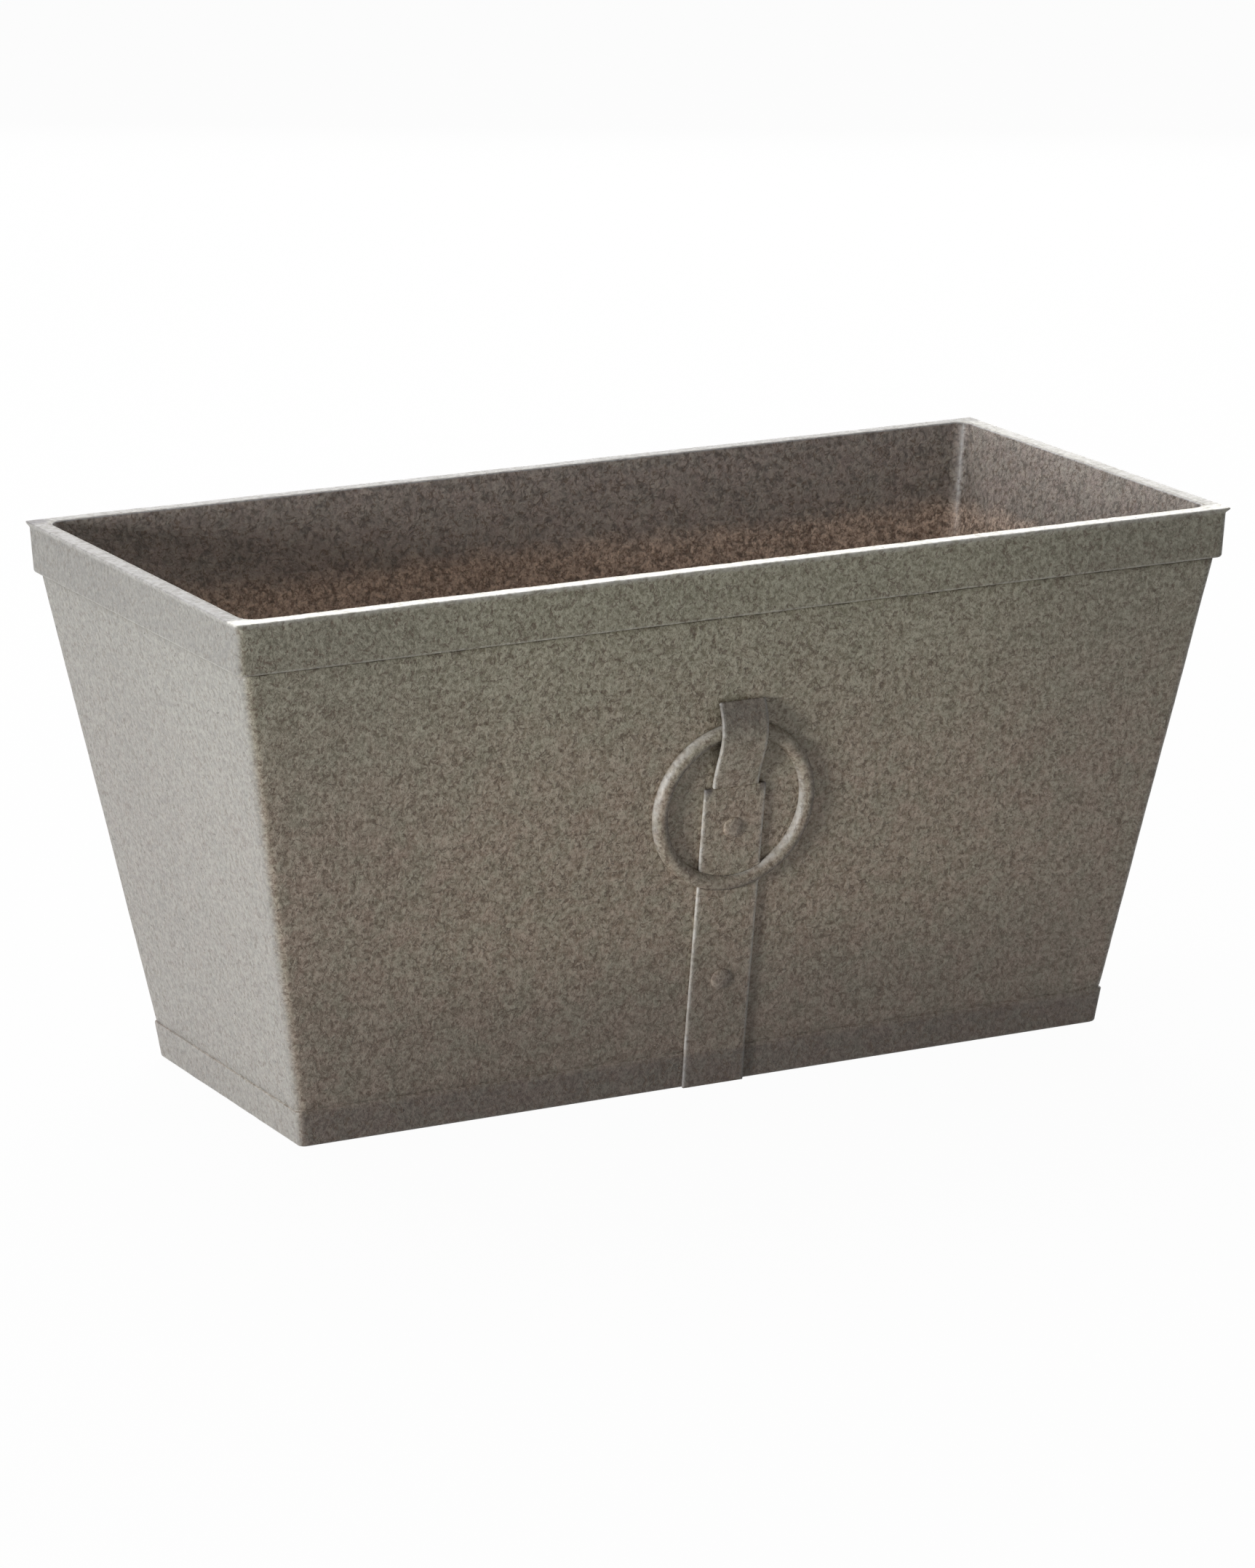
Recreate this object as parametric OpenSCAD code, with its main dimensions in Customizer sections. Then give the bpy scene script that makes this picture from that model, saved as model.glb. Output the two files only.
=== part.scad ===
// Tapered trough planter with a banded rim, a low plinth and, on each long side, a strap,
// a fixed ring and the loop that holds it. Three plugs close the drain holes in the floor.
// Millimetres. The origin is at the middle of the base, +Z is up and -Y is the front.

/* [Rim] */
// Length over the rim's top edge
rim_l = 610; // [500:1:900]
// Width over the rim's top edge
rim_w = 290.4; // [240:0.1:400]
// Height of the rim's band
rim_h = 29; // [20:0.5:40]
// Width of the rim's flat top
rim_wall = 10.4; // [9.5:0.1:14]
// How far each face of the band leans in from top to bottom
rim_draft = 2.4; // [1:0.1:5]
// How far the band's lower edge stands out over the body
rim_overhang = 3; // [2:0.5:6]
// How far the rolled top edge stands out from the band
lip_out = 0.8; // [0.4:0.1:1.5]
// Height of the rolled top edge
lip_h = 3.5; // [2:0.5:6]
// Corner radius of the rim's band
rim_corner = 5; // [2:0.5:12]
// Corner radius of the rolled top edge
lip_corner = 1.5; // [1:0.5:12]

/* [Body] */
// Overall height
height = 306.5; // [240:0.5:420]
// Length of the body where it meets the plinth
foot_l = 508; // [400:0.2:620]
// Width of the body where it meets the plinth
foot_w = 197.5; // [160:0.5:230]
// Corner radius of the body
body_corner = 6; // [3:0.5:12]
// Corner radius inside
cavity_corner = 8; // [5:0.5:14]
// Rounding where the walls meet the floor inside
floor_fillet = 5; // [2:0.5:10]

/* [Plinth and floor] */
// Height of the plinth
plinth_h = 21; // [15:0.5:30]
// How far the plinth stands out from the body
plinth_proud = 0.5; // [0.5:0.1:3]
// How far each face of the plinth leans in from top to bottom
plinth_draft = 2.8; // [0.5:0.1:4]
// Corner radius of the plinth
plinth_corner = 4.5; // [1.5:0.5:10]
// Width of the ledge that the planter stands on
stand_ledge = 16; // [10:1:24]
// Height of the hollow under the floor
under_h = 12; // [6:0.5:14]
// Thickness of the floor
floor_t = 10; // [7:0.5:12]
// Radius of a drain hole
drain_r = 10; // [6:0.5:14]
// Distance between drain holes
drain_pitch = 150; // [100:5:180]

/* [Strap] */
// Width of the strap
strap_w = 38; // [30:1:60]
// Thickness of the strap
strap_t = 2.2; // [1.5:0.1:4]
// Height of the strap's top end, measured up the wall
strap_top = 159.5; // [140:0.5:165]

/* [Ring] */
// Outer diameter of the ring
ring_od = 100; // [80:1:110]
// Width of the ring's half-round section
ring_section = 9; // [6:0.5:12]
// Height of the ring's centre, measured up the wall
ring_centre = 147.5; // [135:0.5:150]
// Straight foot under the half-round section
ring_foot = 0.6; // [0.3:0.1:1]

/* [Loop over the ring] */
// Width of the loop
loop_w = 28; // [20:1:30]
// Thickness of the loop
loop_t = 2.5; // [1.5:0.1:3.5]
// Height of the loop's top end, measured up the wall
loop_top = 209.5; // [206:0.5:220]
// How far the back of the loop stands off the wall
loop_rise = 6.4; // [6:0.1:9]
// Skew of the arch: above 1 lifts its crown towards the top
loop_skew = 1.6; // [1.4:0.1:1.8]

/* [Rivets] */
// Diameter of a rivet's head
rivet_head_d = 12.5; // [9:0.5:15]
// Height of a rivet's head
rivet_head_h = 2; // [1:0.1:3]
// Diameter of a rivet's shank
rivet_d = 5; // [4:0.5:6]
// Depth of the shank in the wall
rivet_depth = 4; // [3:0.5:5]
// Height of the upper rivet, measured up the wall
rivet_upper = 135; // [125:0.5:136]
// Height of the lower rivet, measured up the wall
rivet_lower = 43.5; // [30:0.5:80]

/* [Drain plugs] */
// Diameter of the plug's flange
plug_flange_d = 34; // [30:1:40]
// Thickness of the plug's flange
plug_flange_t = 3; // [2:0.5:4]
// Diameter of the plug's grip
plug_grip_d = 12; // [8:1:16]
// Height of the plug's grip above the flange
plug_grip_h = 8; // [5:1:12]
// How far the plug's stem shows below the floor
plug_below = 2; // [1:0.5:3]

/* [Hidden] */

layer = 0.01;         // thickness of the outlines that a hull joins
edge = 1;             // softening of the moulded edges
past = 1;             // how far a cut runs past the face it opens
stem_gap = 0.05;      // clearance round a plug's stem
seat_gap = 0.05;      // clearance under a plug's flange
rivet_gap = 0.05;     // clearance round a rivet's shank
arch_steps = 28;      // flats along the loop's arch
dome_steps = 10;      // flats across a rivet's head

band_z = height - rim_h;
body_h = band_z - plinth_h;
top_l = rim_l - 2 * (rim_draft + rim_overhang);
top_w = rim_w - 2 * (rim_draft + rim_overhang);
floor_z = under_h + floor_t;
wall_angle = atan((top_w - foot_w) / 2 / body_h);
ring_r = (ring_od - ring_section) / 2;
loop_foot = strap_top;
drain_x = [-drain_pitch, 0, drain_pitch];

shell_colour = "#756d61";
iron_colour = "#7d7468";
rubber_colour = "#2b2a29";

// Size of the body at height z, carried on above and below it at the same taper
function body_l(z) = foot_l + (top_l - foot_l) * (z - plinth_h) / body_h;
function body_w(z) = foot_w + (top_w - foot_w) * (z - plinth_h) / body_h;

// Size of the hollow at height z: its walls run parallel to the body's
function cavity_l(z) = rim_l - 2 * rim_wall - body_l(height) + body_l(z);
function cavity_w(z) = rim_w - 2 * rim_wall - body_w(height) + body_w(z);

// Size of the plinth at height z
function plinth_step(z) = 2 * (plinth_proud - plinth_draft * (plinth_h - z) / plinth_h);
function plinth_l(z) = foot_l + plinth_step(z);
function plinth_w(z) = foot_w + plinth_step(z);

// Distance of the loop's back from the wall, at t from 0 at its foot to 1 at its top
function arch(t) = loop_rise * sin(180 * pow(t, loop_skew));

// A thin rounded rectangle, the outline that a hull starts or ends at
module outline(l, w, r, z) {
  for (x = [-1, 1], y = [-1, 1])
    translate([x * (l / 2 - r), y * (w / 2 - r), z])
      cylinder(r = r, h = layer, $fn = 32);
}

// The rim's band, with its lower edge softened
module rim_band() {
  face_l = rim_l - 2 * lip_out;
  face_w = rim_w - 2 * lip_out;
  low_l = rim_l - 2 * rim_draft;
  low_w = rim_w - 2 * rim_draft;
  hull() {
    outline(low_l - 2 * edge, low_w - 2 * edge, rim_corner - edge, band_z);
    outline(low_l, low_w, rim_corner, band_z + edge);
    outline(face_l, face_w, rim_corner, height - layer);
  }
}

// The rolled edge round the top of the rim
module rim_lip() {
  face_l = rim_l - 2 * lip_out;
  face_w = rim_w - 2 * lip_out;
  hull() {
    outline(face_l - edge, face_w - edge, rim_corner, height - lip_h);
    outline(rim_l, rim_w, lip_corner, height - edge);
    outline(rim_l - edge, rim_w - edge, lip_corner - edge / 2, height - layer);
  }
}

// The tapered body, from inside the plinth up into the band
module body_block() {
  low = plinth_h - 2 * edge;
  high = band_z + 2 * edge;
  hull() {
    outline(body_l(low), body_w(low), body_corner, low);
    outline(body_l(high), body_w(high), body_corner, high);
  }
}

module plinth_block() {
  high = plinth_h - edge;
  hull() {
    outline(plinth_l(0) - 2 * edge, plinth_w(0) - 2 * edge, plinth_corner - edge, 0);
    outline(plinth_l(edge), plinth_w(edge), plinth_corner, edge);
    outline(plinth_l(high), plinth_w(high), plinth_corner, high);
    outline(plinth_l(plinth_h) - 1.6 * edge, plinth_w(plinth_h) - 1.6 * edge, plinth_corner, plinth_h - layer);
  }
}

// The planting space, open at the top
module cavity() {
  low = floor_z + floor_fillet;
  high = height + past;
  hull() {
    outline(cavity_l(low) - 2 * floor_fillet, cavity_w(low) - 2 * floor_fillet, cavity_corner, floor_z);
    outline(cavity_l(low), cavity_w(low), cavity_corner, low);
    outline(cavity_l(high), cavity_w(high), cavity_corner, high);
  }
}

// The hollow under the floor, inside the ledge that the planter stands on
module under_hollow() {
  open_l = foot_l - 2 * stand_ledge;
  open_w = foot_w - 2 * stand_ledge;
  hull() {
    outline(open_l, open_w, cavity_corner, -past);
    outline(open_l - 4 * edge, open_w - 4 * edge, cavity_corner, under_h - layer);
  }
}

// Puts children on the outer face of the front wall: X along it, Z up it and -Y out of it
module on_wall() {
  translate([0, -foot_w / 2, plinth_h])
    rotate([wall_angle, 0, 0])
      children();
}

// Turns a front piece to the back
module at_back() {
  rotate([0, 0, 180]) children();
}

// Puts children at each rivet, with Z out of the wall
module at_rivets() {
  on_wall()
    for (s = [rivet_lower, rivet_upper])
      translate([0, 0, s])
        rotate([90, 0, 0])
          children();
}

module rivet_holes() {
  at_rivets()
    translate([0, 0, -rivet_depth])
      cylinder(d = rivet_d + 2 * rivet_gap, h = rivet_depth + past, $fn = 32);
}

module planter_shell() {
  color(shell_colour)
    difference() {
      union() {
        plinth_block();
        body_block();
        rim_band();
        rim_lip();
      }
      cavity();
      under_hollow();
      for (x = drain_x)
        translate([x, 0, under_h - past])
          cylinder(r = drain_r, h = floor_t + 2 * past, $fn = 64);
      rivet_holes();
      at_back() rivet_holes();
    }
}

// A side outline in Y and Z, given its width along X
module sideways(w) {
  rotate([90, 0, 90])
    linear_extrude(w, center = true)
      children();
}

// The strap lies on the wall and bends over the plinth down to the ground
module strap() {
  slope = tan(wall_angle);
  out = strap_t / cos(wall_angle);
  low_y = plinth_w(0) / 2;
  high_y = plinth_w(plinth_h) / 2;
  top_y = foot_w / 2 + strap_top * sin(wall_angle);
  top_z = plinth_h + strap_top * cos(wall_angle);
  end_y = top_y + strap_t * cos(wall_angle);
  end_z = top_z - strap_t * sin(wall_angle);
  step_z = plinth_h + 3 * edge;
  color(iron_colour)
    difference() {
      sideways(strap_w)
        polygon([
          [-low_y, 0],
          [-plinth_w(plinth_h - edge) / 2, plinth_h - edge],
          [-high_y, plinth_h],
          [-foot_w / 2 - slope * edge, plinth_h + edge],
          [-top_y, top_z],
          [-end_y, end_z],
          [-foot_w / 2 - slope * 3 * edge - out, step_z],
          [-high_y - strap_t, plinth_h],
          [-low_y - strap_t, 0]
        ]);
      at_rivets()
        cylinder(d = rivet_d + 2 * rivet_gap, h = strap_t + past, $fn = 32);
    }
}

// The ring is half round and lies flat on the wall. Its back is cut away over the strap.
module ring() {
  color(iron_colour)
    on_wall()
      difference() {
        translate([0, 0, ring_centre])
          rotate([90, 0, 0])
            rotate_extrude($fn = 128)
              translate([ring_r, 0])
                ring_profile();
        translate([-strap_w / 2, -strap_t, ring_centre - ring_od])
          cube([strap_w, strap_t + past, ring_od]);
      }
}

// Half-round section on a short straight foot, flat side down
module ring_profile() {
  r = ring_section / 2;
  translate([-r, 0])
    square([ring_section, ring_foot]);
  translate([0, ring_foot])
    intersection() {
      circle(r = r, $fn = 48);
      translate([-r, 0])
        square([ring_section, r]);
    }
}

// The loop is a flat strip that arches out over the ring and lies on the wall at both ends
module ring_loop() {
  rise = loop_top - loop_foot;
  color(iron_colour)
    on_wall()
      sideways(loop_w)
        polygon(concat(
          [for (i = [0 : arch_steps]) let (t = i / arch_steps)
            [-arch(t), loop_foot + rise * t]],
          [for (i = [arch_steps : -1 : 0]) let (t = i / arch_steps)
            [-arch(t) - loop_t, loop_foot + rise * t]]
        ));
}

// Low domed heads, with shanks through the strap into the wall
module rivets() {
  head_r = rivet_head_d / 2;
  dome_r = (head_r * head_r + rivet_head_h * rivet_head_h) / (2 * rivet_head_h);
  dome_angle = asin(head_r / dome_r);
  color(iron_colour)
    at_rivets()
      rotate_extrude($fn = 48)
        polygon(concat(
          [[0, -rivet_depth], [rivet_d / 2, -rivet_depth], [rivet_d / 2, strap_t], [head_r, strap_t]],
          [for (i = [dome_steps - 1 : -1 : 0]) let (a = dome_angle * i / dome_steps)
            [dome_r * sin(a), strap_t + rivet_head_h - dome_r * (1 - cos(a))]]
        ));
}

// A turned plug: grip, flange on the floor and a stem that fills the drain hole
module drain_plug(x) {
  stem_r = drain_r - stem_gap;
  flange_r = plug_flange_d / 2;
  grip_r = plug_grip_d / 2;
  flange_top = seat_gap + plug_flange_t;
  grip_top = flange_top + plug_grip_h;
  stem_low = -floor_t - plug_below;
  color(rubber_colour)
    translate([x, 0, floor_z])
      rotate_extrude($fn = 96)
        polygon([
          [0, stem_low],
          [stem_r - edge, stem_low],
          [stem_r, stem_low + edge],
          [stem_r, seat_gap],
          [flange_r, seat_gap],
          [flange_r, flange_top - edge],
          [flange_r - edge, flange_top],
          [grip_r - edge, flange_top],
          [grip_r - edge, grip_top - 3 * edge],
          [grip_r, grip_top - 2.5 * edge],
          [grip_r, grip_top - edge],
          [grip_r - edge, grip_top],
          [0, grip_top]
        ]);
}

module front_strap() { strap(); }
module front_ring() { ring(); }
module front_ring_loop() { ring_loop(); }
module front_rivets() { rivets(); }
module back_strap() { at_back() strap(); }
module back_ring() { at_back() ring(); }
module back_ring_loop() { at_back() ring_loop(); }
module back_rivets() { at_back() rivets(); }
module left_drain_plug() { drain_plug(drain_x[0]); }
module middle_drain_plug() { drain_plug(drain_x[1]); }
module right_drain_plug() { drain_plug(drain_x[2]); }

planter_shell();
front_strap();
front_ring();
front_ring_loop();
front_rivets();
back_strap();
back_ring();
back_ring_loop();
back_rivets();
left_drain_plug();
middle_drain_plug();
right_drain_plug();
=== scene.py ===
import math

import bmesh
import bpy
from mathutils import Matrix, Vector, noise


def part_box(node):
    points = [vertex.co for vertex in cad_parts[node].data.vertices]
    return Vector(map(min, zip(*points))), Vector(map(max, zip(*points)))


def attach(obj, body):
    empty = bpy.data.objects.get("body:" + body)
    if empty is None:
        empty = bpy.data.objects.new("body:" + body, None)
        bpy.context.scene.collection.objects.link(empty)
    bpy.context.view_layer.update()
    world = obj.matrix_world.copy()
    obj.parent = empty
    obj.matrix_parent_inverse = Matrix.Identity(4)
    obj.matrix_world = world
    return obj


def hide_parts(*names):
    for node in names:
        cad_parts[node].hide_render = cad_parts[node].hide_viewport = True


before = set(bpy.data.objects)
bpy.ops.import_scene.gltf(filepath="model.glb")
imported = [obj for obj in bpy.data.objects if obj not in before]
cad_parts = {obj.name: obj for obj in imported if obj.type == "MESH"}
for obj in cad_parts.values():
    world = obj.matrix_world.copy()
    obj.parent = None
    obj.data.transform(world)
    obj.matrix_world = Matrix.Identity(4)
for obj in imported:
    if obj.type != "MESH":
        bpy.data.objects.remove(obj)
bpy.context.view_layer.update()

MM = 0.001

# ---------------------------------------------------------------- sizes, in millimetres
# The three overall sizes are read from the frame. The others are the planter's own, as it is built.
shell_low, shell_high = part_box("planter_shell")
RIM_L = (shell_high.x - shell_low.x) / MM
RIM_W = (shell_high.y - shell_low.y) / MM
HEIGHT = (shell_high.z - shell_low.z) / MM
RIM_H = 29.0
RIM_WALL = 10.4
RIM_DRAFT = 2.4
RIM_OVERHANG = 3.0
LIP_OUT = 0.8
LIP_H = 3.5
RIM_CORNER = 5.0
LIP_CORNER = 1.5
FOOT_L = 508.0
FOOT_W = 197.5
BODY_CORNER = 6.0
CAVITY_CORNER = 8.0
FLOOR_FILLET = 5.0
PLINTH_H = 21.0
PLINTH_PROUD = 0.5
PLINTH_DRAFT = 2.8
PLINTH_CORNER = 4.5
STAND_LEDGE = 16.0
HOLLOW_DRAFT = 2.0
UNDER_H = 12.0
FLOOR_T = 10.0
DRAIN_R = 10.0
DRAIN_PITCH = 150.0
STRAP_W = 38.0
STRAP_T = 2.2
STRAP_TOP = 159.5
RING_OD = 100.0
RING_SECTION = 9.0
RING_CENTRE = 147.5
RING_FOOT = 0.6
LOOP_W = 28.0
LOOP_T = 2.5
LOOP_TOP = 209.5
LOOP_RISE = 6.4
LOOP_SKEW = 1.6
RIVET_HEAD_D = 12.5
RIVET_HEAD_H = 2.0
RIVET_D = 5.0
RIVET_DEPTH = 4.0
RIVET_UPPER = 135.0
RIVET_LOWER = 43.5

# how round the shell's edges are
SOFT_EDGE = 1.0
FOOT_EDGE = 1.4
BAND_EDGE = 1.7
INNER_EDGE = 1.2
# the two grooves in the outside: how deep, and how far over the plinth or under the band
PLINTH_GROOVE = ((0.3, 0.25), (0.3, 0.6), (0.1, 1.1))
BAND_GROOVE = ((0.1, 0.8), (0.5, 0.4), (0.5, 0.1))
FULL_SEAM = 0.5        # the depth at which a groove counts as a full seam
# the moulding's unevenness, and what it has more at a ragged groove
SURFACE_DIP = 0.3
GROOVE_DIP = 0.35
# how far down the inside the outer finish reaches
PAINT_DEPTH = 47.0

BAND_Z = HEIGHT - RIM_H
BODY_H = BAND_Z - PLINTH_H
FLOOR_Z = UNDER_H + FLOOR_T
TOP_L = RIM_L - 2 * (RIM_DRAFT + RIM_OVERHANG)
TOP_W = RIM_W - 2 * (RIM_DRAFT + RIM_OVERHANG)
WALL_ANGLE = math.atan((TOP_W - FOOT_W) / 2 / BODY_H)
DRAIN_X = (-DRAIN_PITCH, 0.0, DRAIN_PITCH)

# ---------------------------------------------------------------- camera
# Where the photograph was taken from, in metres and radians
CAMERA_PLACE = Vector((-1.6057, -3.1182, 1.0742))
CAMERA_YAW = 0.475       # to the right of straight back
CAMERA_DOWN = 0.2576
CAMERA_ROLL = -0.004
LONG_SIDE_PX = 2156
FOCAL_PX = 8819.7
FILM = 36.0


def make_camera():
    ahead = Vector((math.sin(CAMERA_YAW) * math.cos(CAMERA_DOWN),
                    math.cos(CAMERA_YAW) * math.cos(CAMERA_DOWN),
                    -math.sin(CAMERA_DOWN)))
    level = Vector((math.cos(CAMERA_YAW), -math.sin(CAMERA_YAW), 0))
    top = level.cross(ahead)
    right = level * math.cos(CAMERA_ROLL) + top * math.sin(CAMERA_ROLL)
    up = top * math.cos(CAMERA_ROLL) - level * math.sin(CAMERA_ROLL)
    data = bpy.data.cameras.new("photo_camera")
    data.sensor_width = FILM
    data.lens = FOCAL_PX * FILM / LONG_SIDE_PX
    data.clip_start = 0.05
    data.clip_end = 60
    camera = bpy.data.objects.new("photo_camera", data)
    camera.matrix_world = Matrix((
        (right.x, up.x, -ahead.x, CAMERA_PLACE.x),
        (right.y, up.y, -ahead.y, CAMERA_PLACE.y),
        (right.z, up.z, -ahead.z, CAMERA_PLACE.z),
        (0, 0, 0, 1)))
    bpy.context.scene.collection.objects.link(camera)
    bpy.context.scene.camera = camera


# ---------------------------------------------------------------- small helpers
def ease(value, low, high):
    """0 below low, 1 above high and a smooth rise between them. low may be the greater."""
    share = min(max((value - low) / (high - low), 0.0), 1.0)
    return share * share * (3 - 2 * share)


def near(value, limit, reach):
    """1 at the limit, falling to 0 at reach from it."""
    return max(0.0, 1.0 - abs(limit - value) / reach)


def quarter(steps, start=0.0, sweep=90.0):
    """Sine and cosine of the angles across a rounded edge."""
    for i in range(steps + 1):
        a = math.radians(start + sweep * i / steps)
        yield math.sin(a), math.cos(a)


def between(a, b, share):
    """The numbers of a, each moved by share towards the same one of b."""
    return [p + (q - p) * share for p, q in zip(a, b)]


# ---------------------------------------------------------------- the planter's outlines
def body_l(z):
    """Length of the tapered body at height z."""
    return FOOT_L + (TOP_L - FOOT_L) * (z - PLINTH_H) / BODY_H


def body_w(z):
    """Width of the tapered body at height z."""
    return FOOT_W + (TOP_W - FOOT_W) * (z - PLINTH_H) / BODY_H


# Each of the next gives half length, half width and corner radius at height z, pushed out by out.
def body_at(z, out=0.0):
    return body_l(z) / 2 + out, body_w(z) / 2 + out, BODY_CORNER + out


def cavity_at(z, out=0.0):
    half_l = (RIM_L - 2 * RIM_WALL - body_l(HEIGHT) + body_l(z)) / 2
    half_w = (RIM_W - 2 * RIM_WALL - body_w(HEIGHT) + body_w(z)) / 2
    return half_l + out, half_w + out, max(CAVITY_CORNER + out, 1.0)


def band_at(z, out=0.0):
    lean = (RIM_DRAFT - LIP_OUT) * (HEIGHT - z) / RIM_H
    half_l = RIM_L / 2 - LIP_OUT - lean
    half_w = RIM_W / 2 - LIP_OUT - lean
    return half_l + out, half_w + out, RIM_CORNER + out


def lip_at(z, out, share):
    """The rolled top edge, which starts as the band and ends with a tighter corner."""
    half_l, half_w, corner = band_at(z, out)
    return half_l, half_w, corner + (LIP_CORNER - corner) * share


def plinth_at(z, out=0.0):
    lean = PLINTH_DRAFT * (PLINTH_H - z) / PLINTH_H
    half_l = FOOT_L / 2 + PLINTH_PROUD - lean
    half_w = FOOT_W / 2 + PLINTH_PROUD - lean
    return half_l + out, half_w + out, PLINTH_CORNER + out


def hollow_at(z, out=0.0):
    draft = HOLLOW_DRAFT * z / UNDER_H
    half_l = FOOT_L / 2 - STAND_LEDGE - draft
    half_w = FOOT_W / 2 - STAND_LEDGE - draft
    return half_l + out, half_w + out, CAVITY_CORNER


# ---------------------------------------------------------------- the shell, level by level
# The rub tag makes a level pale: rubbed wear on the edges, and a painted highlight on the rim's lip, top
# and inner edge.
def level(size, z, seam=0.0, rub_and_highlight=0.0, inside=0.0):
    """One level of the shell: half length, half width, corner radius, height and three tags."""
    return (*size, z, seam, rub_and_highlight, inside)


def straight(size_at, z0, z1, steps, **tags):
    """Levels along a straight wall, without its two ends."""
    for i in range(1, steps):
        z = z0 + (z1 - z0) * i / steps
        yield level(size_at(z), z, **tags)


def foot_levels():
    """Down the hollow under the floor, over the standing ledge and up the plinth."""
    yield level(hollow_at(UNDER_H), UNDER_H, inside=0.5)
    yield from straight(hollow_at, UNDER_H, SOFT_EDGE, 4, inside=0.5)
    for s, c in quarter(3):
        yield level(hollow_at(0, out=SOFT_EDGE * (1 - c)), SOFT_EDGE * (1 - s), inside=0.5)
    ledge_in = hollow_at(0, out=SOFT_EDGE)
    ledge_out = plinth_at(0, out=-FOOT_EDGE)
    for share in (0.25, 0.5, 0.75):
        yield level(between(ledge_in, ledge_out, share), 0.0, inside=0.5)
    for s, c in quarter(4):
        z = FOOT_EDGE * (1 - c)
        yield level(plinth_at(z, out=-FOOT_EDGE * (1 - s)), z, rub_and_highlight=0.8 * s * c)
    top = PLINTH_H - SOFT_EDGE
    yield from straight(plinth_at, FOOT_EDGE, top, 7)
    for s, c in quarter(4):
        yield level(plinth_at(top, out=-SOFT_EDGE * (1 - c)), top + SOFT_EDGE * s, rub_and_highlight=0.3 * s * c)


def wall_levels():
    """The groove over the plinth, the tapered wall and the groove under the band."""
    for depth, up in PLINTH_GROOVE:
        yield level(body_at(PLINTH_H + up, out=-depth), PLINTH_H + up, seam=depth / FULL_SEAM)
    yield from straight(body_at, PLINTH_H + PLINTH_GROOVE[-1][1], BAND_Z - BAND_GROOVE[0][1], 66)
    for depth, down in BAND_GROOVE:
        yield level(body_at(BAND_Z - down, out=-depth), BAND_Z - down, seam=depth / FULL_SEAM)


def band_levels():
    """The band's underside, its face and its rolled lip."""
    under_in = body_at(BAND_Z)
    under_out = band_at(BAND_Z, out=-BAND_EDGE)
    # The underside is tagged as seam, so it is drawn dark: painted shade under the band's overhang.
    for share in (0.12, 0.5):
        yield level(between(under_in, under_out, share), BAND_Z + 0.05, seam=1 - share)
    for s, c in quarter(5):
        z = BAND_Z + BAND_EDGE * (1 - c)
        yield level(band_at(z, out=-BAND_EDGE * (1 - s)), z, rub_and_highlight=0.8 * s * c)
    yield from straight(band_at, BAND_Z + BAND_EDGE, HEIGHT - LIP_H, 8)
    # The lip is tagged pale towards its top: a painted highlight along the rim's edge.
    for share in (0.0, 0.25, 0.5, 0.75, 1.0):
        bulge = LIP_OUT * (0.5 - 0.5 * math.cos(math.pi * share))
        z = HEIGHT - LIP_H + (LIP_H - SOFT_EDGE) * share
        yield level(lip_at(z, bulge, share), z, rub_and_highlight=0.5 * share)
    for s, c in quarter(3, 30.0, 60.0):
        size = [v - SOFT_EDGE * (1 - c) for v in lip_at(HEIGHT - SOFT_EDGE, LIP_OUT, 1.0)]
        yield level(size, HEIGHT - SOFT_EDGE * (1 - s), rub_and_highlight=1.0)


def cavity_levels():
    """The rim's flat top, the inside walls and the rounding at the floor."""
    outer = [v - SOFT_EDGE for v in lip_at(HEIGHT - SOFT_EDGE, LIP_OUT, 1.0)]
    inner = cavity_at(HEIGHT, out=INNER_EDGE)
    # The flat top and inner edge are tagged pale: painted sheen on the rim's top and a painted highlight
    # along its inner edge.
    for share in (0.25, 0.5, 0.75):
        yield level(between(outer, inner, share), HEIGHT, rub_and_highlight=0.9)
    for s, c in quarter(4):
        size = cavity_at(HEIGHT, out=INNER_EDGE * (1 - s))
        yield level(size, HEIGHT - INNER_EDGE * (1 - c), rub_and_highlight=2 * s * c, inside=s)
    bottom = FLOOR_Z + FLOOR_FILLET
    yield from straight(cavity_at, HEIGHT - INNER_EDGE, bottom, 58, inside=1.0)
    for s, c in quarter(5):
        yield level(cavity_at(bottom, out=-FLOOR_FILLET * (1 - c)), bottom - FLOOR_FILLET * s, inside=1.0)


LONG_STEPS = 150
SHORT_STEPS = 70
CORNER_STEPS = 8
CORNERS = ((1, 1), (-1, 1), (-1, -1), (1, -1))


def corner_arc(k, half_l, half_w, corner, z):
    """Points round one corner of a rounded rectangle."""
    sx, sy = CORNERS[k]
    centre = Vector((sx * (half_l - corner), sy * (half_w - corner), z))
    angles = [math.radians(90 * k + 90 * i / CORNER_STEPS) for i in range(CORNER_STEPS + 1)]
    return [centre + Vector((corner * math.cos(a), corner * math.sin(a), 0)) for a in angles]


def rounded_ring(half_l, half_w, corner, z):
    """Points round a rounded rectangle, the same number at every size."""
    arcs = [corner_arc(k, half_l, half_w, corner, z) for k in range(4)]
    points = []
    for k, arc in enumerate(arcs):
        goal = arcs[(k + 1) % 4][0]
        steps = LONG_STEPS if k % 2 == 0 else SHORT_STEPS
        points.extend(arc)
        points.extend(arc[-1].lerp(goal, i / steps) for i in range(1, steps))
    return points


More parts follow.
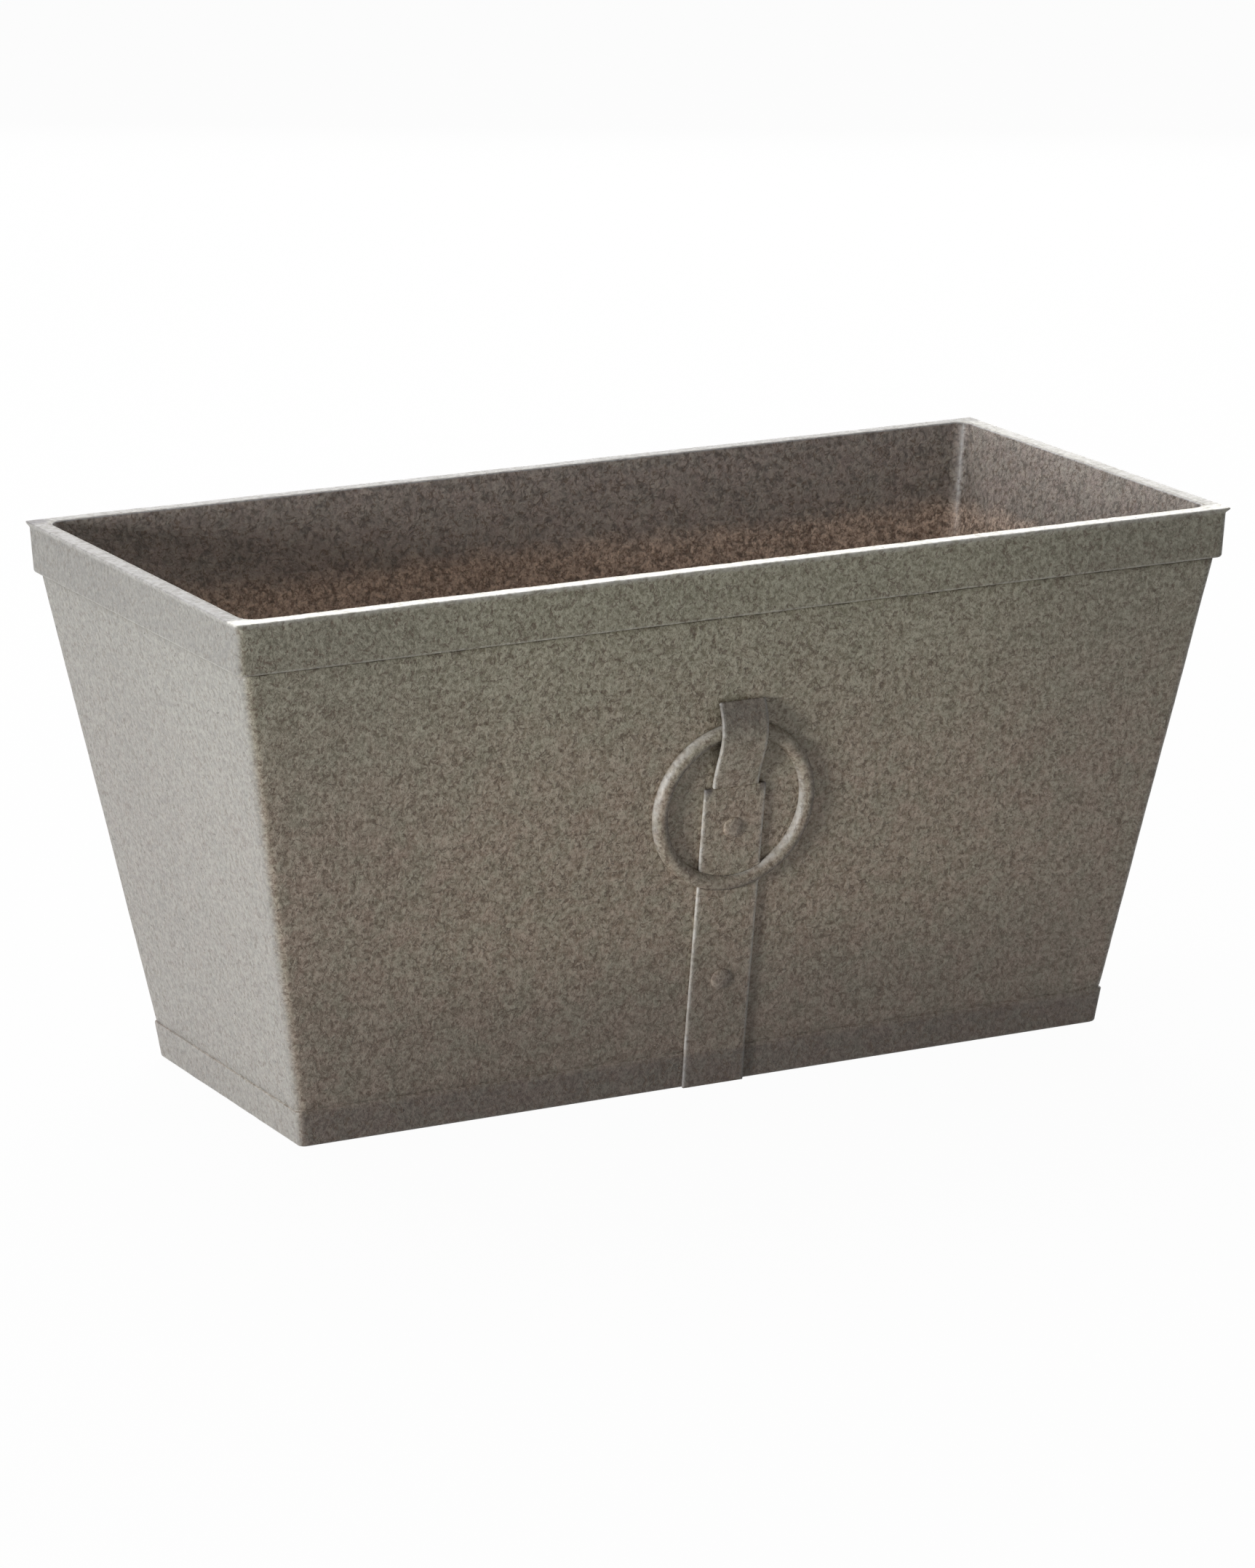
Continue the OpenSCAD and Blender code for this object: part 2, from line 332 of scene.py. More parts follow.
def moulded_skin(made, levels):
    """Joins the levels into one skin and returns the points of each."""
    rings = [[made.verts.new(point) for point in rounded_ring(*one[:4])] for one in levels]
    for lower, upper in zip(rings, rings[1:]):
        for i in range(len(lower)):
            j = (i + 1) % len(lower)
            made.faces.new((lower[i], lower[j], upper[j], upper[i]))
    return rings


def drain_circle(mesh, x, z, steps=32):
    """Edges of one drain hole at height z."""
    verts = [mesh.verts.new((x + DRAIN_R * math.cos(math.tau * i / steps),
                             DRAIN_R * math.sin(math.tau * i / steps), z)) for i in range(steps)]
    edges = [mesh.edges.new((verts[i], verts[(i + 1) % steps])) for i in range(steps)]
    return verts, edges


def pierced_floor(made, under, over):
    """Closes the floor's underside and top, with the drain holes through them."""
    holes = {}
    for ring, z in ((under, UNDER_H), (over, FLOOR_Z)):
        border = [made.edges.get((a, b)) for a, b in zip(ring, ring[1:] + ring[:1])]
        for x in DRAIN_X:
            verts, edges = drain_circle(made, x, z)
            holes.setdefault(x, []).append(verts)
            border.extend(edges)
        bmesh.ops.triangle_fill(made, use_beauty=True, use_dissolve=False, edges=border)
    for low, high in holes.values():
        for i in range(len(low)):
            j = (i + 1) % len(low)
            made.faces.new((low[i], high[i], high[j], low[j]))


def cast_hollows(point):
    """How far a moulded surface lies under its true plane at a point, from 0 to 1."""
    broad = noise.noise(point * 0.028)
    middle = noise.noise(point * 0.09 + Vector((31, 7, 3)))
    fine = noise.noise(point * 0.21 + Vector((5, 71, 13)))
    return min(max(0.5 + 0.45 * broad + 0.3 * middle + 0.2 * fine, 0.0), 1.0)


def sink_surface(made, seam, inside):
    """Gives the skin the moulding's unevenness, but not where it stands or on the floor."""
    for v in made.verts:
        stands = v.co.z < 0.01
        on_floor = inside[v.index] == 1.0 and v.co.z <= FLOOR_Z + 0.01
        if not stands and not on_floor:
            ragged = 0.5 + 0.5 * noise.noise(v.co * 0.4)
            v.co -= v.normal * (SURFACE_DIP * cast_hollows(v.co) + GROOVE_DIP * seam[v.index] * ragged)


def make_shell():
    levels = [*foot_levels(), *wall_levels(), *band_levels(), *cavity_levels()]
    made = bmesh.new()
    rings = moulded_skin(made, levels)
    pierced_floor(made, rings[0], rings[-1])
    bmesh.ops.recalc_face_normals(made, faces=made.faces)
    made.normal_update()
    made.verts.index_update()
    total = len(made.verts)
    seam, rub_and_highlight, inside = [0.0] * total, [0.0] * total, [1.0] * total
    for ring, one in zip(rings, levels):
        for v in ring:
            seam[v.index], rub_and_highlight[v.index], inside[v.index] = one[4:]
            if inside[v.index] == 1.0:
                rub_and_highlight[v.index] = cavity_corner_painted_highlight(v.co)
    sink_surface(made, seam, inside)
    mesh = bpy.data.meshes.new("shell_moulding")
    made.to_mesh(mesh)
    made.free()
    # How much a point faces an end; the ends' painted sheen, greyer and plainer, follows this.
    end = [ease(abs(v.normal.x), 0.3, 0.95) * (1 - i) for v, i in zip(mesh.vertices, inside)]
    grime_and_shade = [wall_darkening(v.co, e, i) for v, e, i in zip(mesh.vertices, end, inside)]
    for name, values in (("seam", seam), ("rub_and_highlight", rub_and_highlight), ("inside", inside), ("end", end), ("grime_and_shade", grime_and_shade)):
        tag(mesh, name, values)
    finish_piece("shell_moulding", mesh, "shell_finish", "planter_shell")


# ---------------------------------------------------------------- rubbed places, grime, painted highlight and painted shade
BACK_DARKENING = 0.3        # how much darker the back is than the front


def tag(mesh, name, values):
    """A value at each point, for a material to read."""
    attribute = mesh.attributes.new(name, "FLOAT", "POINT")
    attribute.data.foreach_set("value", values)


def cavity_corner_painted_highlight(point):
    """The inside's upright corners get a painted highlight along their middle."""
    half_l, half_w, corner = cavity_at(point.z)
    dip = corner * (1 - math.sqrt(0.5))
    reach = 2.4
    return near(half_l - abs(point.x), dip, reach) * near(half_w - abs(point.y), dip, reach)


def on_plinth(z):
    """1 on the plinth and 0 on the wall above it."""
    return ease(z, PLINTH_H + 1, PLINTH_H - 3)


def low_darkening(z):
    """Darker low on the walls, most on the plinth."""
    return 0.26 * ease(z, 110.0, 40.0) + 0.2 * ease(z, 130.0, 25.0) + 0.3 * on_plinth(z)


def rim_top_painted_shade(x, y):
    """Painted shade on the rim's flat top: none in front, some on the right, more on the left and back."""
    to_front = RIM_WALL - RIM_W / 2
    to_back = RIM_W / 2 - RIM_WALL
    to_left = RIM_WALL - RIM_L / 2
    front = ease(y, to_front + 2, to_front - 1)
    left = ease(x, to_left + 1, to_left - 1)
    back = ease(y, to_back - 1, to_back + 1)
    return (0.48 + 0.32 * left + 0.27 * back) * (1 - front)


def wall_darkening(point, end, inside):
    """Darkening on the shell: low down, toward the ends of the long sides, at the back and on the band; on
    the ends also a painted shade toward their far half, and a painted shade on the rim's top.
    """
    x, y, z = point
    band = ease(z, BAND_Z - 2, BAND_Z + 2) * (1 - inside)
    toward_ends = 0.28 * ease(abs(x), 110.0, 260.0) * ease(z, 40.0, 110.0)
    behind = BACK_DARKENING * ease(y, 20.0, 60.0)
    long_side = (low_darkening(z) + (toward_ends + behind) * (1 - inside) + 0.1 * band) * (1 - end)
    # On the ends, the darkening toward their far half is painted shade.
    short_side = (0.22 * band + 0.12 * ease(y, -80.0, 60.0) + 0.05 * on_plinth(z)) * end
    top = ease(z, HEIGHT - 1.2, HEIGHT - 0.4)
    return (long_side + short_side) * (1 - top) + rim_top_painted_shade(x, y) * top


def tag_wear_and_light(mesh, side, rub_and_highlight, grime_and_shade):
    """Tags each point of a casting with how pale it is made, by wear and painted highlight, and how dark,
    by grime and painted shade.
    Only the shell has seams, ends and an inside."""
    behind = BACK_DARKENING if side == "back" else 0.0
    tag(mesh, "rub_and_highlight", [rub_and_highlight(v.co) for v in mesh.vertices])
    tag(mesh, "grime_and_shade", [grime_and_shade(v.co) + behind for v in mesh.vertices])
    for name in ("seam", "end", "inside"):
        tag(mesh, name, [0.0] * len(mesh.vertices))


# ---------------------------------------------------------------- putting pieces in place
def finish_piece(name, mesh, slot, node):
    """Brings a mesh from millimetres to metres and hands it to the frame in place of its node."""
    for v in mesh.vertices:
        v.co.z = max(v.co.z, 0.0)
    mesh.transform(Matrix.Scale(MM, 4))
    mesh.shade_smooth()
    piece = bpy.data.objects.new(name, mesh)
    bpy.context.scene.collection.objects.link(piece)
    mesh.materials.clear()
    mesh.materials.append(FINISHES[slot])
    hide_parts(node)
    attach(piece, "planter")


def side_frame(side):
    """Turns what is made for the front round to the back."""
    return Matrix.Identity(4) if side == "front" else Matrix.Rotation(math.pi, 4, "Z")


def wall_frame(side):
    """Matrix from the wall's own axes, X along it, Y into it and Z up it, to the planter's."""
    wall = Matrix.Translation((0, -FOOT_W / 2, PLINTH_H)) @ Matrix.Rotation(WALL_ANGLE, 4, "X")
    return side_frame(side) @ wall


# ---------------------------------------------------------------- colours
def linear(r, g, b):
    """A colour as it looks on screen, 0 to 255, as the light that a material reflects."""
    def one(c):
        c /= 255
        return c / 12.92 if c <= 0.04045 else ((c + 0.055) / 1.055) ** 2.4
    return one(r), one(g), one(b), 1.0


PALE_GREEN = linear(185, 182, 161)
PALE_BROWN = linear(197, 180, 162)
DARK_GREEN = linear(115, 111, 90)
DARK_BROWN = linear(128, 109, 91)
# The next three: a grey for the painted sheen on the planter's ends, a pale for rubbed wear and painted
# highlights, and a dark for grime and painted shade.
END_SHEEN_GREY = linear(111, 122, 137)
RUBBED_AND_HIGHLIGHT_PALE = linear(214, 212, 206)
GRIME_AND_SHADE_DARK = linear(62, 58, 68)
STROKE = linear(92, 77, 64)
PIT = linear(52, 47, 42)
INNER_GREY = linear(116, 117, 127)
RUST_PALE = linear(224, 204, 187)
RUST_DARK = linear(122, 103, 91)
RUBBER_BLACK = linear(38, 37, 36)
RUBBER_DUST = linear(62, 60, 57)
RELIEF = 0.00018       # depth of the iron finish's relief, in metres
RUBBER_RELIEF = 0.0002


# ---------------------------------------------------------------- parts of a finish
def new_material(name):
    material = bpy.data.materials.new(name)
    material.use_nodes = True
    tree = material.node_tree
    tree.nodes.clear()
    shader = tree.nodes.new("ShaderNodeBsdfPrincipled")
    output = tree.nodes.new("ShaderNodeOutputMaterial")
    tree.links.new(shader.outputs["BSDF"], output.inputs["Surface"])
    return material, tree, shader


def spots(tree, scale, detail=3.0, roughness=0.55, distortion=0.0, offset=(0, 0, 0), stretch=(1, 1, 1)):
    """Noise on the piece's own coordinates. scale is in blotches per metre."""
    place = tree.nodes.new("ShaderNodeTexCoord")
    shift = tree.nodes.new("ShaderNodeMapping")
    shift.inputs["Location"].default_value = offset
    shift.inputs["Scale"].default_value = stretch
    node = tree.nodes.new("ShaderNodeTexNoise")
    node.inputs["Scale"].default_value = scale
    node.inputs["Detail"].default_value = detail
    node.inputs["Roughness"].default_value = roughness
    node.inputs["Distortion"].default_value = distortion
    tree.links.new(place.outputs["Object"], shift.inputs["Vector"])
    tree.links.new(shift.outputs["Vector"], node.inputs["Vector"])
    return node.outputs["Fac"]


def step(tree, value, low, high, to_low=0.0, to_high=1.0):
    """Takes low to to_low and high to to_high, and holds the value at those beyond them."""
    node = tree.nodes.new("ShaderNodeMapRange")
    node.inputs["From Min"].default_value = low
    node.inputs["From Max"].default_value = high
    node.inputs["To Min"].default_value = to_low
    node.inputs["To Max"].default_value = to_high
    tree.links.new(value, node.inputs["Value"])
    return node.outputs["Result"]


def calc(tree, kind, a, b=0.0):
    """One step of arithmetic. a and b are sockets or numbers."""
    node = tree.nodes.new("ShaderNodeMath")
    node.operation = kind
    for socket, value in zip(node.inputs, (a, b)):
        if isinstance(value, (int, float)):
            socket.default_value = value
        else:
            tree.links.new(value, socket)
    return node.outputs["Value"]


def times(tree, a, b):
    return calc(tree, "MULTIPLY", a, b)


def plus(tree, a, b):
    return calc(tree, "ADD", a, b)


def minus(tree, a, b):
    return calc(tree, "SUBTRACT", a, b)


def greater(tree, a, b):
    return calc(tree, "MAXIMUM", a, b)


def less(tree, value, amount, share):
    """A value reduced by share where amount is 1."""
    return times(tree, value, step(tree, amount, 0.0, 1.0, 1.0, 1.0 - share))


def contour(tree, value, width):
    """1 along the line where a value is a half, falling to 0 at width from it: a wandering stroke."""
    off = calc(tree, "ABSOLUTE", minus(tree, value, 0.5))
    return step(tree, off, 0.0, width, 1.0, 0.0)


def blend_colour(tree, amount, a, b):
    """a where amount is 0 and b where it is 1. Each is a socket or a colour."""
    node = tree.nodes.new("ShaderNodeMix")
    node.data_type = "RGBA"
    tree.links.new(amount, node.inputs["Factor"])
    first, second, result = node.inputs[6], node.inputs[7], node.outputs[2]    # the colour sockets
    for socket, value in ((first, a), (second, b)):
        if isinstance(value, tuple):
            socket.default_value = value
        else:
            tree.links.new(value, socket)
    return result


def point_value(tree, name):
    node = tree.nodes.new("ShaderNodeAttribute")
    node.attribute_name = name
    return node.outputs["Fac"]


def height_of(tree):
    """Height above the ground, in metres."""
    place = tree.nodes.new("ShaderNodeTexCoord")
    split = tree.nodes.new("ShaderNodeSeparateXYZ")
    tree.links.new(place.outputs["Object"], split.inputs["Vector"])
    return split.outputs["Z"]


def bump(tree, height, distance, strength=1.0):
    node = tree.nodes.new("ShaderNodeBump")
    node.inputs["Distance"].default_value = distance
    node.inputs["Strength"].default_value = strength
    tree.links.new(height, node.inputs["Height"])
    return node.outputs["Normal"]


# ---------------------------------------------------------------- the iron finish
def iron_tone(tree, end):
    """Soft dark and pale patches, 0 to 1, weaker on the planter's ends under their painted sheen."""
    broad = spots(tree, 300, 3.0, 0.75, 0.6)
    fine = spots(tree, 420, 2.0, 0.8, 0.0, (0.2, 0.6, 0.4))
    both = plus(tree, times(tree, broad, 0.5), times(tree, fine, 0.5))
    patchy = less(tree, step(tree, both, 0.39, 0.61, -0.5, 0.5), end, 0.4)
    return plus(tree, patchy, 0.5)


def iron_colour(tree, tone, end, inside, height):
    """The tone in brown clouds, greener towards the rim outside, and greyer and plainer on the ends: a
    painted sheen.
    """
    least = 0.4
    clouds = step(tree, spots(tree, 60, 4.0, 0.8, 0.4, (0.9, 0.4, 0.2)), 0.38, 0.62, least, 1.0)
    outside = step(tree, inside, 0.0, 1.0, 1.0, 0.0)
    clouds = less(tree, clouds, times(tree, step(tree, height, 0.17, 0.29), outside), 0.9)
    clouds = plus(tree, less(tree, minus(tree, clouds, least), end, 0.7), least)
    pale = blend_colour(tree, clouds, PALE_GREEN, PALE_BROWN)
    dark = blend_colour(tree, clouds, DARK_GREEN, DARK_BROWN)
    mottled = blend_colour(tree, tone, dark, pale)
    return blend_colour(tree, times(tree, end, 0.4), mottled, END_SHEEN_GREY)


def worn_and_painted_light(tree, colour, rub_and_highlight, grime_and_shade):
    """The finish made pale by rubbed wear and painted highlights, and then dark by grime and painted shade
    over it.
    """
    bare = step(tree, spots(tree, 240, 3.0, 0.6, 0.0, (0.3, 0.3, 0.7)), 0.40, 0.58, 0.45, 1.0)
    rubbed_and_highlit = blend_colour(tree, times(tree, rub_and_highlight, bare), colour, RUBBED_AND_HIGHLIGHT_PALE)
    return blend_colour(tree, times(tree, grime_and_shade, 0.75), rubbed_and_highlit, GRIME_AND_SHADE_DARK)


def short_strokes(tree, end, rub_and_highlight):
    """Short, broken strokes, fainter on the ends under their painted sheen and where the finish is made
    pale.
    """
    line = contour(tree, spots(tree, 240, 2.0, 0.5, 0.5, (0.7, 0.1, 0.3)), 0.075)
    broken = step(tree, spots(tree, 290, 1.0, 0.5, 0.0, (0.9, 0.8, 0.1)), 0.47, 0.57)
    strokes = times(tree, times(tree, line, broken), 0.85)
    return less(tree, less(tree, strokes, end, 0.5), rub_and_highlight, 0.7)


def pits_and_seams(tree, seam):
    """Small pits, and the ragged dark grooves over the plinth and under the band, where the band's
    underside is also drawn dark as painted shade.
    """
    pits = step(tree, spots(tree, 430, 1.5, 0.5, 0.4, (0.5, 0.2, 0.9), (0.7, 0.7, 1.2)), 0.70, 0.78)
    ragged = step(tree, spots(tree, 150, 3.0, 0.6), 0.46, 0.56)
    return greater(tree, times(tree, times(tree, seam, ragged), 0.8), times(tree, pits, 0.6))


def inner_wrinkles(tree, inside, rub_and_highlight):
    """Wider, softer strokes in patches on the inside walls."""
    line = contour(tree, spots(tree, 150, 2.0, 0.5, 0.5, (0.4, 0.7, 0.2)), 0.09)
    patches = step(tree, spots(tree, 180, 1.0, 0.5, 0.0, (0.1, 0.3, 0.6)), 0.42, 0.54)
    wrinkles = times(tree, times(tree, line, patches), inside)
    return times(tree, less(tree, wrinkles, rub_and_highlight, 0.8), 0.6)


def inner_colour(tree, colour, tone, inside, height):
    """Greyer inside, and rusty below the wavering line that the outer finish reaches."""
    waver = 0.024
    softness = 0.006
    level_z = plus(tree, height, times(tree, spots(tree, 45, 4.0, 0.7), waver))
    line_z = (HEIGHT - PAINT_DEPTH) * MM + waver / 2
    bare = times(tree, step(tree, level_z, line_z + softness, line_z - softness), inside)
    grey = blend_colour(tree, times(tree, inside, 0.45), colour, INNER_GREY)
    rusty = blend_colour(tree, tone, RUST_DARK, RUST_PALE)
    return blend_colour(tree, bare, grey, rusty)


def iron_finish(name, with_inside):
    """A mottled iron look: soft patches, short dark strokes, small pits, and pale edges of rubbed wear and
    painted highlight.
    A painted sheen makes the planter's ends greyer and plainer than its long sides."""
    material, tree, shader = new_material(name)
    seam, rub_and_highlight, grime_and_shade, end, inside = [point_value(tree, each) for each in
                                     ("seam", "rub_and_highlight", "grime_and_shade", "end", "inside")]
    height = height_of(tree)
    tone = iron_tone(tree, end)
    colour = worn_and_painted_light(tree, iron_colour(tree, tone, end, inside, height), rub_and_highlight, grime_and_shade)
    strokes = short_strokes(tree, end, rub_and_highlight)
    deep = pits_and_seams(tree, seam)
    if with_inside:
        deep = greater(tree, deep, inner_wrinkles(tree, inside, rub_and_highlight))
        colour = inner_colour(tree, colour, tone, inside, height)
    colour = blend_colour(tree, strokes, colour, STROKE)
    colour = blend_colour(tree, deep, colour, PIT)
    tree.links.new(colour, shader.inputs["Base Color"])
    soiled = greater(tree, greater(tree, deep, strokes), grime_and_shade)
    dull = step(tree, tone, 0.0, 1.0, 0.5, 0.34)
    tree.links.new(plus(tree, dull, times(tree, soiled, 0.25)), shader.inputs["Roughness"])
    relief = minus(tree, tone, greater(tree, deep, times(tree, strokes, 0.6)))
    relief = less(tree, relief, rub_and_highlight, 0.8)
    tree.links.new(bump(tree, relief, RELIEF), shader.inputs["Normal"])
    return material


def rubber_finish(name):
    """Black rubber with a little dust on it."""
    material, tree, shader = new_material(name)
    dusty = step(tree, spots(tree, 160, 4.0, 0.6, 0.4), 0.35, 0.7)
    colour = blend_colour(tree, dusty, RUBBER_BLACK, RUBBER_DUST)
    tree.links.new(colour, shader.inputs["Base Color"])
    tree.links.new(step(tree, spots(tree, 420, 3.0), 0.3, 0.7, 0.55, 0.75), shader.inputs["Roughness"])
    tree.links.new(bump(tree, spots(tree, 700, 2.0), RUBBER_RELIEF, 0.4), shader.inputs["Normal"])
    return material


FINISHES = {
    "shell_finish": iron_finish("shell_finish", True),
    "casting_finish": iron_finish("casting_finish", False),
    "plug_rubber": rubber_finish("plug_rubber"),
}


# ---------------------------------------------------------------- strap and loop
def strap_line():
    """Points up the strap's back, in Y and Z, from the ground over the plinth and up the wall."""
    low = [(-plinth_at(z)[1], z) for z in (0.0, 2.5, 5.0, 8.0, 11.0, 14.0, 17.0, 19.4)]
    step_up = (-FOOT_W / 2 - PLINTH_PROUD * 0.55, PLINTH_H + 0.8)
    start = 4.0
    steps = 62
    wall = []
    for i in range(steps + 1):
        s = start + (STRAP_TOP - start) * i / steps
        wall.append((-FOOT_W / 2 - s * math.sin(WALL_ANGLE), PLINTH_H + s * math.cos(WALL_ANGLE)))
    return [*low, step_up, *wall]


def loop_line():
    """Points up the loop's back, in the wall's own Y and Z. Its crown lies above its middle."""
    steps = 44
    line = []
    for i in range(steps + 1):
        t = i / steps
        rise = LOOP_RISE * math.sin(math.pi * t ** LOOP_SKEW)
        line.append((-rise, STRAP_TOP + (LOOP_TOP - STRAP_TOP) * t))
    return line


def strip(line, width, thickness, across, edge):
    """A flat strip along a line in Y and Z, with its edges rounded."""
    outs = []
    for i in range(len(line)):
        before = Vector(line[max(i - 1, 0)])
        after = Vector(line[min(i + 1, len(line) - 1)])
        along = (after - before).normalized()
        outs.append(Vector((-along.y, along.x)))
    xs = [width * (i / across - 0.5) for i in range(across + 1)]
    made = bmesh.new()
    back, face = [], []
    for (y, z), out in zip(line, outs):
        back.append([made.verts.new((x, y, z)) for x in xs])
        face.append([made.verts.new((x, y + out.x * thickness, z + out.y * thickness)) for x in xs])
    for grid, flip in ((back, True), (face, False)):
        for a, b in zip(grid, grid[1:]):
            for i in range(across):
                quad = [a[i], a[i + 1], b[i + 1], b[i]]
                made.faces.new(quad[::-1] if flip else quad)
    for a, b, c, d in zip(back, back[1:], face, face[1:]):
        made.faces.new((a[0], c[0], d[0], b[0]))
        made.faces.new((a[-1], b[-1], d[-1], c[-1]))
    for i in range(across):
        made.faces.new((back[0][i], back[0][i + 1], face[0][i + 1], face[0][i]))
        made.faces.new((back[-1][i + 1], back[-1][i], face[-1][i], face[-1][i + 1]))
    bmesh.ops.recalc_face_normals(made, faces=made.faces)
    sharp = [e for e in made.edges if len(e.link_faces) == 2 and e.calc_face_angle() > math.radians(50)]
    bmesh.ops.bevel(made, geom=sharp, offset=edge, segments=3, profile=0.5, affect="EDGES")
    mesh = bpy.data.meshes.new("strip")
    made.to_mesh(mesh)
    made.free()
    return mesh


def make_strap(side):
    mesh = strip(strap_line(), STRAP_W, STRAP_T, across=20, edge=0.8)
    top_z = PLINTH_H + STRAP_TOP * math.cos(WALL_ANGLE)

    def edges(point):
        return near(abs(point.x), STRAP_W / 2, 2.2)

    def in_loop_shadow(point):
        """The strap's two upper corners, on each side of the loop's foot, where the loop's shadow is
        painted.
        """
        return ease(point.z, top_z - 6, top_z - 1) * ease(abs(point.x), LOOP_W / 2 - 1, LOOP_W / 2 + 2)

    # Pale edges are rubbed wear and painted highlight; the corners by the loop's foot get a painted shadow.
    tag_wear_and_light(mesh, side, edges, lambda p: low_darkening(p.z) + 0.9 * in_loop_shadow(p))
    mesh.transform(side_frame(side))
    finish_piece(side + "_strap_casting", mesh, "casting_finish", side + "_strap")


def make_loop(side):
    mesh = strip(loop_line(), LOOP_W, LOOP_T, across=14, edge=0.7)
    middle = (LOOP_TOP + STRAP_TOP) / 2

    def edges(point):
        return near(abs(point.x), LOOP_W / 2, 1.4)

    def upper_half(point):
        return ease(point.z, middle - 4, LOOP_TOP - 4)

    # The upper half, which faces up and away from the light, is darkened: painted shade.
    tag_wear_and_light(mesh, side, edges, lambda p: 0.1 + 0.6 * upper_half(p))
    mesh.transform(wall_frame(side))
    finish_piece(side + "_loop_casting", mesh, "casting_finish", side + "_ring_loop")


# ---------------------------------------------------------------- geometry node trees
def node_tree(name, sizes):
    """A tree with one named number for each size and a geometry output."""
    tree = bpy.data.node_groups.new(name, "GeometryNodeTree")
    tree.interface.new_socket("Geometry", in_out="INPUT", socket_type="NodeSocketGeometry")
    for size, value in sizes.items():
        socket = tree.interface.new_socket(size, in_out="INPUT", socket_type="NodeSocketFloat")
        socket.default_value = value
    tree.interface.new_socket("Geometry", in_out="OUTPUT", socket_type="NodeSocketGeometry")
    return tree, tree.nodes.new("NodeGroupInput"), tree.nodes.new("NodeGroupOutput")


def put(tree, kind, links=None, **settings):
    """Adds a node with these settings. Each socket in links is set to a number or linked."""
    node = tree.nodes.new(kind)
    for key, value in settings.items():
        setattr(node, key, value)
    for socket, value in (links or {}).items():
        if isinstance(value, bpy.types.NodeSocket):
            tree.links.new(value, node.inputs[socket])
        else:
            node.inputs[socket].default_value = value
    return node


def end_tree(tree, output, geometry, material):
    """Turns instances into real faces and gives them their material."""
    solid = put(tree, "GeometryNodeRealizeInstances", {"Geometry": geometry})
    painted = put(tree, "GeometryNodeSetMaterial", {"Geometry": solid.outputs[0], "Material": material})
    tree.links.new(painted.outputs[0], output.inputs[0])


def grown(name, tree, sizes):
    """Runs a tree on an empty mesh and returns the result as a plain mesh."""
    seed = bpy.data.objects.new(name + "_seed", bpy.data.meshes.new(name + "_seed"))
    bpy.context.scene.collection.objects.link(seed)
    modifier = seed.modifiers.new("grow", "NODES")
    modifier.node_group = tree
    for item in tree.interface.items_tree:
        if item.in_out == "INPUT" and item.name in sizes:
            modifier[item.identifier] = float(sizes[item.name])
    depsgraph = bpy.context.evaluated_depsgraph_get()
    mesh = bpy.data.meshes.new_from_object(seed.evaluated_get(depsgraph), depsgraph=depsgraph)
    seed.modifiers.remove(modifier)
    bpy.data.objects.remove(seed)
    mesh.name = name
    return mesh


# ---------------------------------------------------------------- ring
def ring_tree():
    """A half-round section swept round a circle."""
    tree, given, output = node_tree("ring_tree", {"Radius": 45, "Section": 4.5})
    path = put(tree, "GeometryNodeCurvePrimitiveCircle",
               {"Resolution": 192, "Radius": given.outputs["Radius"]})
    arc = put(tree, "GeometryNodeCurveArc",
              {"Resolution": 19, "Radius": given.outputs["Section"],
               "Start Angle": 0.0, "Sweep Angle": math.pi})
    closed = put(tree, "GeometryNodeSetSplineCyclic", {"Geometry": arc.outputs["Curve"], "Cyclic": True})
    swept = put(tree, "GeometryNodeCurveToMesh",
                {"Curve": path.outputs["Curve"], "Profile Curve": closed.outputs[0]})
    end_tree(tree, output, swept.outputs["Mesh"], FINISHES["casting_finish"])
    return tree


def seat_ring(mesh):
    """Stands the ring up on the wall, and raises it where it crosses the strap."""
    for v in mesh.vertices:
        x, y, out = v.co.x, v.co.y, abs(v.co.z)
        on_back = out <= 1e-4
        height = out if on_back else out + RING_FOOT
        if abs(x) < STRAP_W / 2 and y < 0:
            height = max(height, STRAP_T)
        v.co = Vector((x, -height, RING_CENTRE + y))
    made = bmesh.new()
    made.from_mesh(mesh)
    bmesh.ops.recalc_face_normals(made, faces=made.faces)
    made.to_mesh(mesh)
    made.free()


def make_ring(side):
    section = RING_SECTION / 2
    middle = (RING_OD - RING_SECTION) / 2
    mesh = grown(side + "_ring", RING_TREE, {"Radius": middle, "Section": section})
    seat_ring(mesh)

    def lit(point):
        """How far the ring's surface faces up and to the left, toward the light, where a highlight is
        painted on.
        """
        out = Vector((point.x, point.z - RING_CENTRE))
        return out.normalized().dot(Vector((-0.86, 0.5))) * (out.length - middle) / section

    # Pale where the ring faces the light, a painted highlight; dark where it faces away, painted shade over
    # a little grime.
    tag_wear_and_light(mesh, side, lambda p: 0.8 * ease(lit(p), 0.3, 0.9), lambda p: 0.2 + 0.6 * ease(lit(p), 0.0, -0.7))
    mesh.transform(wall_frame(side))
    finish_piece(side + "_ring_casting", mesh, "casting_finish", side + "_ring")


